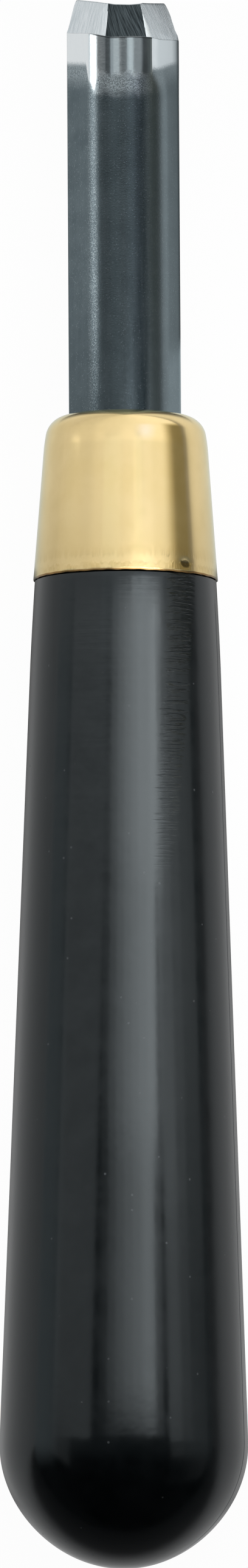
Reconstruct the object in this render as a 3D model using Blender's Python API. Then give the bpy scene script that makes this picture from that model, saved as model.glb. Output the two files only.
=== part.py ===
"""Lino cutting gouge, lying on a table.

The three pieces are modelled about the tool's own axis, local +Z: the butt of the handle is at 0, the cutting
edge is at the far end and the crown of the blade faces local -Y. An empty then lays that axis along world +Y,
resting on the side of the tapered grip with the crown of the blade upwards.
"""

import math

import bmesh
import bpy
from mathutils import Vector

# Clearance left between neighbouring pieces, in metres like every length here
FIT_GAP = 0.0003

# Handle, one solid moulding
HANDLE_LENGTH = 0.0808  # butt to the seat under the ferrule
BULB_RADIUS = 0.01017  # round butt
GRIP_TOP_RADIUS = 0.0076  # grip at the seat, before its edge is rounded
GRIP_EDGE_RADIUS = 0.0004  # rounded edge of the seat

# Ferrule, a drawn brass cap
FERRULE_HEIGHT = 0.01375
FERRULE_STEP = 0.0001  # foot of the ferrule inside the grip
FERRULE_WALL = 0.0005
FERRULE_LIP = 0.00145  # mouth to the corner that the shoulder rounds off
SHOULDER_RADIUS = 0.00225
FOOT_BAND = 0.00065  # plain band above the foot, below the taper

# Blade, a pressed channel of steel strip with a ground tip
BLADE_WIDTH = 0.00936  # rim to rim, outside
BLADE_THICKNESS = 0.0011
FLANK_ANGLE = math.radians(52)  # bend from the crown to each flank
CROWN_RADIUS = 0.006
CROWN_ANGLE = math.radians(13.5)  # half of the arc of the crown
CORNER_RADIUS = 0.0015  # outside of each bend
RIM_DROP = 0.0008  # rims below the tool's axis
BLADE_REACH = 0.03465  # mouth of the ferrule to the wing tips
BEVEL_LENGTH = 0.00268
WING_LEAD = 0.00087  # wing tips ahead of the middle of the edge
BLADE_ROLL = math.radians(6)  # the blade's turn about the axis as the tool lies

# Tang, the same channel carried down into the handle, with a notch in each rim that the moulding fills
TANG_LENGTH = 0.026  # below the mouth
NOTCH_RISE = 0.004  # end of the tang to the notch
NOTCH_LENGTH = 0.0025  # floor of the notch
NOTCH_DEPTH = 0.0009  # its sides slope at 45 degrees

# Smoothness of the round pieces and bends
SIDES = 64
BULB_STEPS = 14
SHOULDER_STEPS = 8
EDGE_STEPS = 4
BEND_STEPS = 6
CUT_MARGIN = 0.002  # how far a cutter or an unground tip runs past what it meets

# Where the pieces stand along the axis
foot_z = HANDLE_LENGTH + FIT_GAP
mouth_z = foot_z + FERRULE_HEIGHT
tip_z = mouth_z + BLADE_REACH
bevel_z = tip_z - WING_LEAD - BEVEL_LENGTH
tang_z = mouth_z - TANG_LENGTH

# Shape of the pressed channel
flank_length = (
    BLADE_WIDTH / 2
    - CROWN_RADIUS * math.sin(CROWN_ANGLE)
    - CORNER_RADIUS * (math.sin(FLANK_ANGLE) - math.sin(CROWN_ANGLE))
) / math.cos(FLANK_ANGLE)
channel_depth = (
    CROWN_RADIUS * (1 - math.cos(CROWN_ANGLE))
    + CORNER_RADIUS * (math.cos(CROWN_ANGLE) - math.cos(FLANK_ANGLE))
    + flank_length * math.sin(FLANK_ANGLE)
)
crown_height = channel_depth - RIM_DROP

# Shape of the ferrule, drawn round the blade
collar_radius = GRIP_TOP_RADIUS - FERRULE_STEP
mouth_radius = math.hypot(BLADE_WIDTH / 2, RIM_DROP) + FIT_GAP
plug_radius = mouth_radius - FIT_GAP
band_z = foot_z + FOOT_BAND
ferrule_taper = math.atan2(collar_radius - mouth_radius - FERRULE_LIP, mouth_z - band_z)
shoulder_z = mouth_z - SHOULDER_RADIUS
shoulder_r = (
    collar_radius
    - (shoulder_z - band_z) * math.tan(ferrule_taper)
    - SHOULDER_RADIUS / math.cos(ferrule_taper)
)

# Half angle of the grip, a cone that touches the bulb and narrows to the seat
grip_rise = HANDLE_LENGTH - BULB_RADIUS
grip_reach = math.hypot(GRIP_TOP_RADIUS, grip_rise)
grip_taper = math.atan2(grip_rise, GRIP_TOP_RADIUS) - math.acos(BULB_RADIUS / grip_reach)


def arc(centre, radius, start, end, steps):
    """Points of a circular arc as pairs of radius and height, with both ends."""
    angles = [start + (end - start) * i / steps for i in range(steps + 1)]
    return [(centre[0] + radius * math.cos(a), centre[1] + radius * math.sin(a)) for a in angles]


def ferrule_line(depth, limit, start_z):
    """Outline of the cap this far under its outer face, from start_z up to the radius limit."""
    radius = SHOULDER_RADIUS - depth
    side_r = collar_radius - depth
    end = math.acos(max(0.0, min(1.0, (limit - shoulder_r) / radius)))
    line = [(side_r, start_z), (side_r, band_z - depth * math.tan(ferrule_taper / 2))]
    line += arc((shoulder_r, shoulder_z), radius, ferrule_taper, end, SHOULDER_STEPS)
    if limit < shoulder_r:
        line.append((limit, shoulder_z + radius))
    return line


def handle_profile():
    """Butt to plug: bulb, tapered grip, seat, neck inside the ferrule and plug in its mouth."""
    seat_r = (
        BULB_RADIUS - GRIP_EDGE_RADIUS - (grip_rise - GRIP_EDGE_RADIUS) * math.sin(grip_taper)
    ) / math.cos(grip_taper)
    seat = (seat_r, HANDLE_LENGTH - GRIP_EDGE_RADIUS)
    profile = arc((0.0, BULB_RADIUS), BULB_RADIUS, -math.pi / 2, grip_taper, BULB_STEPS)
    profile += arc(seat, GRIP_EDGE_RADIUS, grip_taper, math.pi / 2, EDGE_STEPS)
    profile += ferrule_line(FERRULE_WALL + FIT_GAP, plug_radius, HANDLE_LENGTH)
    profile += [(plug_radius, mouth_z), (0.0, mouth_z)]
    return profile


def ferrule_profile():
    """Closed outline of the cap's wall: outer face, mouth, inner face and half-round foot."""
    roll = FERRULE_WALL / 2
    outer = ferrule_line(0.0, mouth_radius, foot_z + roll)
    inner = ferrule_line(FERRULE_WALL, mouth_radius, foot_z + roll)
    foot = arc((collar_radius - roll, foot_z + roll), roll, -math.pi, 0.0, EDGE_STEPS)
    return outer + inner[::-1] + foot[1:-1]


def channel(inset, length):
    """One face of the pressed strip in section, this far inside its outer face, from rim to rim.

    Each half is an arc of the crown, an arc of the bend and a straight flank of the given length.
    """
    crown_y = crown_height - CROWN_RADIUS
    arm = CROWN_RADIUS - CORNER_RADIUS
    half = []
    for i in range(BEND_STEPS + 1):
        turn = CROWN_ANGLE * i / BEND_STEPS
        radius = CROWN_RADIUS - inset
        half.append((radius * math.sin(turn), crown_y + radius * math.cos(turn)))
    for i in range(1, BEND_STEPS + 1):
        turn = CROWN_ANGLE + (FLANK_ANGLE - CROWN_ANGLE) * i / BEND_STEPS
        radius = CORNER_RADIUS - inset
        x = arm * math.sin(CROWN_ANGLE) + radius * math.sin(turn)
        half.append((x, crown_y + arm * math.cos(CROWN_ANGLE) + radius * math.cos(turn)))
    x, height = half[-1]
    half.append((x + length * math.cos(FLANK_ANGLE), height - length * math.sin(FLANK_ANGLE)))
    return [(-x, height) for x, height in half[:0:-1]] + half


def tang_stations(grow):
    """Heights and flank lengths from the end of the tang to above its notch, each face moved out by grow."""
    bite = grow * math.tan(math.pi / 8)
    low = tang_z + NOTCH_RISE
    high = low + NOTCH_LENGTH + 2 * NOTCH_DEPTH
    full = flank_length + grow
    short = full - NOTCH_DEPTH
    return [
        (tang_z - grow, full),
        (low + bite, full),
        (low + bite + NOTCH_DEPTH, short),
        (high - bite - NOTCH_DEPTH, short),
        (high - bite, full),
    ]


def revolve(profile, closed):
    """A mesh turned about the axis, with one of its sides facing local +Y, the side it lies on."""
    bm = bmesh.new()
    start = math.pi / 2 + math.pi / SIDES
    verts = [bm.verts.new((r * math.cos(start), r * math.sin(start), z)) for r, z in profile]
    edges = [bm.edges.new(pair) for pair in zip(verts, verts[1:])]
    if closed:
        edges.append(bm.edges.new((verts[-1], verts[0])))
    bmesh.ops.spin(
        bm, geom=verts + edges, cent=(0, 0, 0), axis=(0, 0, 1), angle=2 * math.pi, steps=SIDES, use_merge=True
    )
    bmesh.ops.remove_doubles(bm, verts=bm.verts, dist=1e-7)
    return bm


def loft_channel(stations, grow):
    """The pressed channel swept up the axis through its stations, closed at both ends."""
    bm = bmesh.new()
    rings = []
    for z, length in stations:
        outline = channel(-grow, length) + channel(BLADE_THICKNESS + grow, length)[::-1]
        rings.append([bm.verts.new((x, -height, z)) for x, height in outline])
    for low, high in zip(rings, rings[1:]):
        for i in range(len(low)):
            j = (i + 1) % len(low)
            bm.faces.new((low[i], low[j], high[j], high[i]))
    bm.faces.new(rings[0])
    bm.faces.new(rings[-1])
    bmesh.ops.recalc_face_normals(bm, faces=bm.faces)
    return bm


def grind(bm, point, direction, slope):
    """Grinds a flat off the tip, with a plane that faces this direction and leans forward by slope."""
    normal = Vector(
        (math.sin(direction) * math.cos(slope), -math.cos(direction) * math.cos(slope), math.sin(slope))
    )
    geometry = bm.verts[:] + bm.edges[:] + bm.faces[:]
    cut = bmesh.ops.bisect_plane(
        bm, geom=geometry, dist=1e-7, plane_co=point, plane_no=normal, clear_outer=True
    )
    edges = [item for item in cut["geom_cut"] if isinstance(item, bmesh.types.BMEdge)]
    bmesh.ops.holes_fill(bm, edges=edges)


def grind_tip(bm):
    """Three flats on the outside of the tip: one on the crown and one swept along each flank."""
    slope = math.atan2(BLADE_THICKNESS, BEVEL_LENGTH)
    sweep = math.asin(WING_LEAD * math.tan(slope) / flank_length)
    flank_x, flank_height = channel(0.0, 0.0)[-1]
    grind(bm, Vector((0, -crown_height, bevel_z)), 0.0, slope)
    for side in (-1, 1):
        start = Vector((side * flank_x, -flank_height, bevel_z))
        grind(bm, start, side * (FLANK_ANGLE - sweep), slope)


def material(name, colour, roughness, metallic):
    made = bpy.data.materials.new(name)
    made.use_nodes = True
    shader = made.node_tree.nodes["Principled BSDF"]
    shader.inputs["Base Color"].default_value = (*colour, 1.0)
    shader.inputs["Roughness"].default_value = roughness
    shader.inputs["Metallic"].default_value = metallic
    return made


def add_object(name, bm, rest):
    """Turns a mesh into an object that lies with the tool, smooth except at its edges."""
    bmesh.ops.recalc_face_normals(bm, faces=bm.faces)
    mesh = bpy.data.meshes.new(name)
    bm.to_mesh(mesh)
    bm.free()
    mesh.shade_smooth()
    mesh.set_sharp_from_angle(angle=math.radians(30))
    made = bpy.data.objects.new(name, mesh)
    bpy.context.scene.collection.objects.link(made)
    made.parent = rest
    return made


def lay_down():
    """The empty that lays the tool on its side, with the middle of its length over the origin."""
    rest = bpy.data.objects.new("rest", None)
    bpy.context.scene.collection.objects.link(rest)
    butt_y = BULB_RADIUS * math.cos(grip_taper) - BULB_RADIUS
    tip_y = tip_z * math.cos(grip_taper) - RIM_DROP * math.sin(grip_taper)
    side = BULB_RADIUS * math.cos(math.pi / SIDES)
    rest.location = (0, -(butt_y + tip_y) / 2, side + BULB_RADIUS * math.sin(grip_taper))
    rest.rotation_euler = (-math.pi / 2 - grip_taper, 0, 0)
    return rest


for old in list(bpy.data.objects):
    bpy.data.objects.remove(old)

rest = lay_down()

slot_mesh = loft_channel(tang_stations(FIT_GAP) + [(mouth_z + CUT_MARGIN, flank_length + FIT_GAP)], FIT_GAP)
slot = add_object("slot_cutter", slot_mesh, rest)
slot.rotation_euler.z = BLADE_ROLL
slot.hide_render = True
slot.display_type = "WIRE"

handle = add_object("handle", revolve(handle_profile(), False), rest)
cut = handle.modifiers.new("blade_slot", "BOOLEAN")
cut.operation = "DIFFERENCE"
cut.object = slot
handle.data.materials.append(material("gloss_black_plastic", (0.012, 0.013, 0.013), 0.22, 0.0))

ferrule = add_object("ferrule", revolve(ferrule_profile(), True), rest)
ferrule.data.materials.append(material("drawn_brass", (0.80, 0.63, 0.32), 0.28, 1.0))

blade_mesh = loft_channel(tang_stations(0.0) + [(tip_z + CUT_MARGIN, flank_length)], 0.0)
grind_tip(blade_mesh)
blade = add_object("blade", blade_mesh, rest)
blade.rotation_euler.z = BLADE_ROLL
blade.data.materials.append(material("ground_steel", (0.24, 0.27, 0.28), 0.35, 1.0))
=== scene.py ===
"""Looks for the lino cutting gouge: surfaces and finishes over the frame, floor, lamps and camera."""

import math

import bmesh
import bpy
import numpy as np
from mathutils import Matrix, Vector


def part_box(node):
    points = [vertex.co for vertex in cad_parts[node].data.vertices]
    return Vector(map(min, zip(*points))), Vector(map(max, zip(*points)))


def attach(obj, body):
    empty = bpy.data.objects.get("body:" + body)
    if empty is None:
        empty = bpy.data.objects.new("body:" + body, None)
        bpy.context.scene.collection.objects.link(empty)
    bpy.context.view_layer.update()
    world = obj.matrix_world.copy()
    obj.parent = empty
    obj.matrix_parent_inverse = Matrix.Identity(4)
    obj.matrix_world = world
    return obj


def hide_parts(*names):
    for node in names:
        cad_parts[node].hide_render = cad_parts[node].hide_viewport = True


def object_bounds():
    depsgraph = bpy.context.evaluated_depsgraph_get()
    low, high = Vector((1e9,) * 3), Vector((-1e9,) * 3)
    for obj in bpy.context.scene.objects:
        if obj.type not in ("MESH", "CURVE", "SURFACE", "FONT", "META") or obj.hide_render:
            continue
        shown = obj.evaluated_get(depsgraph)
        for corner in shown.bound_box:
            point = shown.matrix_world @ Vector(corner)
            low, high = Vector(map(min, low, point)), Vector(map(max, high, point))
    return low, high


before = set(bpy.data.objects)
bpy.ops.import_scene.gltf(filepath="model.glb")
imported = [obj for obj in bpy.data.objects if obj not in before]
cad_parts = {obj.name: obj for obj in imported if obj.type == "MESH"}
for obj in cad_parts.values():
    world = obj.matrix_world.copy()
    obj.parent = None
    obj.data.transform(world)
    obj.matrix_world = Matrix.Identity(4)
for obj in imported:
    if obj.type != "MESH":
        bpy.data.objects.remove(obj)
cad_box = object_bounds()

# The tool's sizes in metres, the same as in the solids
FIT_GAP = 0.0003
HANDLE_LENGTH = 0.0808
BULB_RADIUS = 0.01017
GRIP_TOP_RADIUS = 0.0076
FERRULE_HEIGHT = 0.01375
FERRULE_STEP = 0.0001
FERRULE_WALL = 0.0005
FERRULE_LIP = 0.00145
FOOT_BAND = 0.00065
BLADE_WIDTH = 0.00936
BLADE_THICKNESS = 0.0011
FLANK_ANGLE = math.radians(52)
CROWN_RADIUS = 0.006
CROWN_ANGLE = math.radians(13.5)
CORNER_RADIUS = 0.0015
RIM_DROP = 0.0008
BLADE_REACH = 0.03465
BEVEL_LENGTH = 0.00268
WING_LEAD = 0.00087
BLADE_ROLL = math.radians(6)
TANG_LENGTH = 0.026

# Small shapes that only the looks need
BLADE_LEAN = math.radians(0.46)  # the blade leans a little to the left of the handle's axis
PRESSED_CROWNS = np.radians([1.0, 6.0])  # left and right end of the crown arc of the strip as pressed
PRESSED_BENDS = np.array([0.00395, 0.0039])  # radius of the left and the right bend
PRESSED_FLANKS = np.radians([52.0, 58.0])  # slope of the left and the right flank
CRISP_CROWNS = np.radians([1.0, 13.5])  # the same near the tip, where the right flank is polished flat
CRISP_BENDS = np.array([0.00395, 0.0017])
CRISP_FLANKS = np.radians([52.0, 52.0])
CRISP_CREASES = np.radians([0.0, 12.0])  # turn left over as a sharp line between bend and flank
CRISP_REACH = np.array([0.0045, 0.0015])  # how far under the bevel the flattening starts and ends
RIM_ROUND = np.array([0.00012, 0.00035])  # depth of the rounded edge of the left and right rim
RIM_REACH = np.array([0.00012, 0.0009])  # how far that rounding runs up the flanks
RIM_EXTRA = np.array([0.00007, 0.00044])  # length that the rounding takes off the flanks
CREASE_REACH = 0.0003  # a crease turns the face over this much of the flank
WING_ROUND = 0.00035  # radius of the corners of the wings
BEVEL_LEAD = np.array([0.00093, 0.00047])  # how far the start of the bevel runs up the left and right flank
WING_ROOT = 0.0014  # the bevel's lead starts this far from the crown
BEVEL_EXTRA = 0.00034  # the bevel is ground this much longer than in the solids
EDGE_ROOTS = np.array([0.0012, 0.0003])  # where the edge starts to sweep up, left and right of the crown
EDGE_SWEEP = 1.25  # power by which it sweeps up from there
BEVEL_RIPPLE = 0.00004  # how far the start of the bevel wanders
BEVEL_WAVES = (0.00075, 0.0019)  # lengths of its two waves, divided by 2 pi
LEAST_WALL = 0.75  # share of its thickness that the strip has left at the wings
LEAST_LEAN = 0.25  # least cosine between a flat of the tip and the wall that it cuts
ROLL_EASE = 0.25  # share by which the cut over the bends gets shallower towards the edge
HONE_START = 0.93  # share of the bevel above which the edge is honed steeper
HONE_STEEPNESS = 0.4
SHANK_SPACING = 0.8  # power that sets the stations of the shank closer to the bevel
SEAM_ANGLE = math.radians(75)  # mould parting line, from the top of the tool towards +X
SEAM_HEIGHT = 0.00003
SEAM_WIDTH = 0.00007
SEAM_REACH = 0.03  # half angle about the line in which the mesh is finer
SEAM_FADE = 0.001  # the line ends this far under the seat, and fades over as much
SEAM_BUTT = 0.004  # and inside this radius at the butt
SEAT_RISE = 0.00029  # the handle's seat comes up almost to the ferrule's foot
FOOT_WAVE = 0.00004  # the foot's rolled edge wanders by this much
FOOT_ROUND = 0.00007
DENT_TURN = 0.71  # a dent left by crimping: its place, its half sizes and its depth
DENT_RISE = 0.0008
DENT_WIDTH = 0.00055
DENT_HEIGHT = 0.0003
DENT_DEPTH = 0.00004
DENT_REACH = 0.12  # half angle about the dent in which the mesh is finer
CAP_SWELL = 0.00006  # the ferrule is this much fuller than in the solids
SHOULDER_RADIUS = 0.0018  # and its shoulder tighter
SHOULDER_EASE = math.radians(6)  # its side leans in by this much before the shoulder
SHOULDER_EASE_RADIUS = 0.014
LIP_DROP = 0.00012  # the lip is turned in this much lower than in the solids
BULB_SLIM = 0.012  # share by which the butt is slimmer half way round than a ball
PLUG_SINK = 0.0002  # the handle's plug ends this far under the lip
GRIP_EASE = 0.0001  # rounding of the handle's top edge
GRIP_NECK = 0.0001  # the handle is slimmer by this much at its top edge, fading over GRIP_NECK_REACH
GRIP_NECK_REACH = 0.007
GRIP_NECK_POWER = 1.5
TURNED_CREASE = math.radians(40)  # edges that turn by more than this stay sharp on the turned pieces
BLADE_CREASE = math.radians(14)  # and on the blade

# Floor and camera: the picture is 408 x 2576 pixels, and a pixel is PIXEL_SIZE wide at CAMERA_TARGET
FLOOR_REACH = 1.5
FLOOR_WHITE = 0.97  # share of plain white in what the camera sees of the floor
FLOOR_MIRRORED = 0.8  # the same share in what the tool reflects of the floor
IMAGE_HEIGHT = 2576
PIXEL_SIZE = 0.00005
LENS = 250
SENSOR = 36
CAMERA_TILT = math.radians(3.95)
CAMERA_ROLL = math.radians(0.115)
CAMERA_TARGET = (0.000025, -0.000385, 0.0082)

# Lamp strips over the handle: back and front end, edges of the brightest strip and level of each part
STRIP_HEIGHT = 0.07
STRIP_PARTS = (
    (-0.0445, -0.020, 0.0, 0.032, 0.73),
    (-0.020, 0.004, -0.001, 0.0375, 0.99),
    (0.004, 0.0305, -0.001, 0.0435, 1.18),
)
STRIP_LEFT_STEPS = (-0.024, -0.016, -0.008, 0.0, 0.008, 0.016)  # steps of the level, from the left edge
STRIP_RIGHT_STEPS = (-0.012, 0.0, 0.010)  # and from the right edge
STRIP_LEVELS = (0.3, 1.0, 1.7, 2.35, 2.95, 3.5, 4.05, 1.2)
STRIP_CORNERS = ((0.0305, 0.0319, 0.008, 0.056), (0.0319, 0.0332, 0.022, 0.058))  # back, front, left, right
STRIP_CORNER_LEVEL = 5.0

# Lamps over the left of the handle: name, place, width, length and level
LEFT_LAMPS = (
    ("handle_left", (-0.0855, -0.001, STRIP_HEIGHT), 0.117, 0.081, 0.53),
    ("handle_left_end", (-0.112, -0.060, STRIP_HEIGHT), 0.085, 0.044, 0.24),
)
LEFT_SWING = -9.4

# Lamp panel at the right of the handle, swung and tilted about its centre
RIGHT_CENTRE = (0.093, -0.004, 0.052)
RIGHT_SWING = 9.0
RIGHT_TILT = math.radians(25.14)
RIGHT_STRIPS = ((-0.050, -0.029, 1.4), (-0.029, -0.008, 0.92), (-0.008, 0.020, 0.58), (0.020, 0.052, 0.48))
RIGHT_LENGTHS = (  # back and front end, and share of the level in each strip
    (-0.120, -0.070, (0.02, 0.04, 0.14, 0.24)),
    (-0.070, -0.048, (0.2, 0.2, 0.24, 0.26)),
    (-0.048, -0.038, (0.48, 0.4, 0.36, 0.32)),
    (-0.038, -0.020, (0.72, 0.58, 0.42, 0.36)),
    (-0.020, -0.005, (1.05, 0.88, 0.7, 0.72)),
    (-0.005, 0.040, (1.0, 1.0, 1.0, 1.0)),
)

# Lamp beside the blade, with a grid that keeps its light off the rest
BLADE_LAMP_PLACE = (-0.047, 0.062, 0.0208)
BLADE_LAMP_AIM = (0.0, 0.062, 0.009)
BLADE_LAMP_WIDTH = 0.0155
BLADE_LAMP_LENGTH = 0.044
BLADE_LAMP_LEVEL = 3.25
BLADE_LAMP_GRID = 20

# Lamps high over the tip: name, place across, width and level
CROWN_LAMPS = (
    ("crown_left", -0.105, 0.138, 0.27),
    ("crown_right", 0.087, 0.062, 0.4),
    ("crown_far_right", 0.174, 0.090, 0.1),
)
CROWN_LAMP_Y = 0.118
CROWN_LAMP_HEIGHT = 0.30
CROWN_LAMP_LENGTH = 0.065

# Start and end of changes in the room light, in degrees about the tool's axis, from above to the right
LEFT_WALL = (-62.0, -76.0)
RIGHT_WALL = ((52.0, 70.0), (110.0, 96.0))
ROOF_RISE = (-50.0, 60.0)  # the roof gets lighter to the right
ROOF_FALLS = (((-38.0, -56.0), 0.86), ((-64.0, -90.0), 0.9))  # edges, and share of the level left beyond
CARD_SIDES = ((52.0, 74.0), (105.0, 92.0))  # a dark card in the roof at the right
OFF_BLADE = (4.0, 30.0)
CROWN_LIGHT_SEEN = ((-31.0, -7.0, 0.17), (-5.0, 9.0, -0.03), (12.0, 22.0, 0.28))  # ends, and lamp light
CROWN_LIGHT_EDGE = 3.0

# The same, in degrees forward from the side
ROOF_START = ((12.5, 17.5), (15.2, 17.9))  # edges of the roof over the blade and off it
ROOF_SIDE_ON = (32.0, 20.0)
CROWN_SIDE_ON = (28.0, 22.0)  # the ferrule's side sees the lamps over the tip up to here
CARD_END = (42.0, 25.0)
DARK_BACK = (-20.0, 2.0)
WINDOW_CENTRE = (30.0, 26.0)  # about the axis and forward
WINDOW_HALF = (20.0, 8.0)

# Start and end of changes in the floor that the tool mirrors, in metres
BEHIND_BUTT = (-0.090, -0.066)
ROUND_BUTT = (-0.056, -0.066)
BESIDE_TOOL = (0.007, 0.017)
BY_FERRULE = ((0.017, 0.019), (0.038, 0.036))
TO_FRONT = (0.0, 0.06)
FROM_RIGHT = (0.14, 0.03)
LEFT_OF_BLADE = ((-0.01, -0.03), (0.015, 0.03))  # a little darker, across and along

# Start and end of changes in the finishes, in millimetres along each piece and round or across it
RINGS_ALONG = (45.0, 82.0)  # rings left by the mould, from the butt
RIPPLES_ALONG = (54.0, 72.0)
RIPPLES_LEFT = (6.1, 7.2)
RIPPLES_RIGHT = (8.9, 7.9)
DULL_BAND = ((1.45, 1.8), (2.9, 1.9))  # from the ferrule's foot
CRIMP_TOP = (1.12, 1.02)
CRIMP_BOTTOM = (0.16, 0.26)
# Painted shade on the ferrule: darker towards the foot, and brown at the foot's and the lip's edges
FOOT_SHADE_ALONG = (7.5, 1.0)
FOOT_EDGE_SHADE_ALONG = (0.2, 0.12)
LIP_EDGE_SHADE_ALONG = (0.17, 0.12)  # under the ferrule's top
DIRT_EDGE = (0.62, 0.3)  # from the middle of the dent
CROWN_ACROSS = ((-3.7, -2.9), (2.35, 2.1))  # from the middle of the blade
RIDGE_ACROSS = ((-3.9, -3.5), (-2.5, -2.9))  # the left bend
RIGHT_ACROSS = (2.2, 6.4)
POLISH_REACH = (2.5, 1.85, 3.05)  # down from the bevel at the left, the right rim and the crown
POLISH_RIDGE = 1.3  # and this much further on the left ridge
WORN_REACH = (4.1, 3.0, 4.75)
DARK_REFLECTION_ALONG = (-18.0, -31.0)  # a painted dark reflection right of the crown gets wider and darker to the root
DARK_REFLECTION_END = (1.8, 1.25)
# painted reflections on the polished crown: pale strips, then dark strips
LIGHT_REFLECTION_STRIPS = ((-0.85, 0.45), (0.62, 0.75))  # middle and half width
DARK_REFLECTION_STRIPS = ((-1.65, 0.3), (1.65, 0.5))
HONED_EDGE = (0.16, 0.08)  # from the cutting edge
STROKE_TURNS = (-0.03, -0.36, -0.25)  # lean of the grinding strokes on the left, middle and right flat

# Colours
WHITE = (1, 1, 1, 1)
COOL_SHEEN = (0.87, 0.965, 1.0, 1.0)  # tint of the gloss
COOL_LIGHT = (0.86, 0.965, 1.0, 1.0)  # low room light and lamps over the tip
WINDOW_LIGHT = (1.02, 1.13, 1.75, 1)
CARD_LIGHT = (1.03, 0.94, 0.6, 1)
FLOOR_DARK = (0.79, 0.79, 0.79, 1)
FLOOR_PALE = (0.81, 0.81, 0.81, 1)
PLASTIC_DARK = (0.0012, 0.0018, 0.0021, 1)
PLASTIC_PALE = (0.0028, 0.0036, 0.004, 1)
PLASTIC_SPECK = (0.09, 0.095, 0.1, 1)
BRASS_DARK = (0.80, 0.617, 0.30, 1)
BRASS_PALE = (0.86, 0.67, 0.345, 1)
# painted shade towards the ferrule's foot
BRASS_FOOT_SHADE = (0.7, 0.54, 0.27, 1)
BRASS_MARK = (0.52, 0.37, 0.13, 1)
# painted shade at the edges of the ferrule's foot and lip
BRASS_EDGE_SHADE = (0.21, 0.1, 0.025, 1)
BRASS_DIRT = (0.06, 0.045, 0.02, 1)
BLUED_DARK = (0.092, 0.117, 0.129, 1)
BLUED_PALE = (0.117, 0.146, 0.159, 1)
# painted reflection: the blue lighter towards the right
BLUED_RIGHT_LIT = (0.24, 0.29, 0.31, 1)
# painted dark reflection right of the crown
BLUED_DARK_REFLECTION = (0.03, 0.042, 0.048, 1)
BLUED_SPARK = (0.4, 0.45, 0.47, 1)
BLUED_DRAWN = (0.2, 0.235, 0.25, 1)
# painted glints on the left ridge
BLUED_PAINTED_GLINT = (0.5, 0.55, 0.57, 1)
BLUED_WORN = (0.56, 0.62, 0.645, 1)
BRIGHT_DARK = (0.64, 0.69, 0.715, 1)
BRIGHT_PALE = (0.69, 0.735, 0.76, 1)
# painted reflections: pale and dark strips on the polished crown
BRIGHT_LIGHT_REFLECTION = (0.91, 0.96, 0.98, 1)
BRIGHT_DARK_REFLECTION = (0.34, 0.375, 0.39, 1)
# painted reflections: polished steel pale at the left, darker to the right and at the rim
BRIGHT_LEFT_LIT = (0.88, 0.915, 0.93, 1)
BRIGHT_RIGHT_SHADED = (0.57, 0.62, 0.645, 1)
BRIGHT_RIM_SHADED = (0.37, 0.41, 0.43, 1)
# painted shadow line under the bevel's start
BEVEL_SHADOW_LINE = (0.04, 0.05, 0.055, 1)
HONED_GREY = (0.4, 0.44, 0.46, 1)
# the flats' shades are painted reflections: dark on the middle flat, light on the outer ones
LEFT_CUT_LIT = ((0.61, 0.67, 0.70, 1), (0.82, 0.865, 0.89, 1))  # between and on the strokes of each flat
MIDDLE_CUT_SHADED = ((0.012, 0.016, 0.018, 1), (0.08, 0.1, 0.108, 1))
RIGHT_CUT_LIT = ((0.71, 0.78, 0.82, 1), (0.88, 0.93, 0.96, 1))

# Where the pieces stand along the tool's axis, from the butt
foot_z = HANDLE_LENGTH + FIT_GAP
mouth_z = foot_z + FERRULE_HEIGHT
tip_z = mouth_z + BLADE_REACH
bevel_z = tip_z - WING_LEAD - BEVEL_LENGTH
tang_z = mouth_z - TANG_LENGTH
band_z = foot_z + FOOT_BAND

# The grip's cone, on whose side the tool lies
grip_rise = HANDLE_LENGTH - BULB_RADIUS
grip_taper = math.atan2(grip_rise, GRIP_TOP_RADIUS) - math.acos(
    BULB_RADIUS / math.hypot(GRIP_TOP_RADIUS, grip_rise)
)
butt_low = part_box("handle")[0]
axis_y = butt_low[1] + BULB_RADIUS - BULB_RADIUS * math.cos(grip_taper)
axis_height = butt_low[2] + BULB_RADIUS + BULB_RADIUS * math.sin(grip_taper)

# The ferrule's outline
collar_radius = GRIP_TOP_RADIUS - FERRULE_STEP
mouth_radius = math.hypot(BLADE_WIDTH / 2, RIM_DROP) + FIT_GAP
ferrule_taper = math.atan2(collar_radius - mouth_radius - FERRULE_LIP, mouth_z - band_z)
shoulder_z = mouth_z - LIP_DROP - SHOULDER_RADIUS
shoulder_r = (
    collar_radius
    + CAP_SWELL
    - (shoulder_z - band_z) * math.tan(ferrule_taper)
    - (SHOULDER_RADIUS + (SHOULDER_EASE_RADIUS - SHOULDER_RADIUS) * (1 - math.cos(SHOULDER_EASE)))
    / math.cos(ferrule_taper)
)

# The pressed channel's depth and the slope of its bevel
flank_length = (
    BLADE_WIDTH / 2
    - CROWN_RADIUS * math.sin(CROWN_ANGLE)
    - CORNER_RADIUS * (math.sin(FLANK_ANGLE) - math.sin(CROWN_ANGLE))
) / math.cos(FLANK_ANGLE)
channel_depth = (
    CROWN_RADIUS * (1 - math.cos(CROWN_ANGLE))
    + CORNER_RADIUS * (math.cos(CROWN_ANGLE) - math.cos(FLANK_ANGLE))
    + flank_length * math.sin(FLANK_ANGLE)
)
crown_height = channel_depth - RIM_DROP
bevel_slope = BLADE_THICKNESS / (BEVEL_LENGTH + BEVEL_EXTRA)


def lay(x, height, z):
    """Tool coordinates to world: z runs up the axis, which dips to the tip, and height towards the crown."""
    y = axis_y + z * math.cos(grip_taper) + height * math.sin(grip_taper)
    up = axis_height - z * math.sin(grip_taper) + height * math.cos(grip_taper)
    return np.stack(np.broadcast_arrays(x, y, up), axis=-1)


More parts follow.
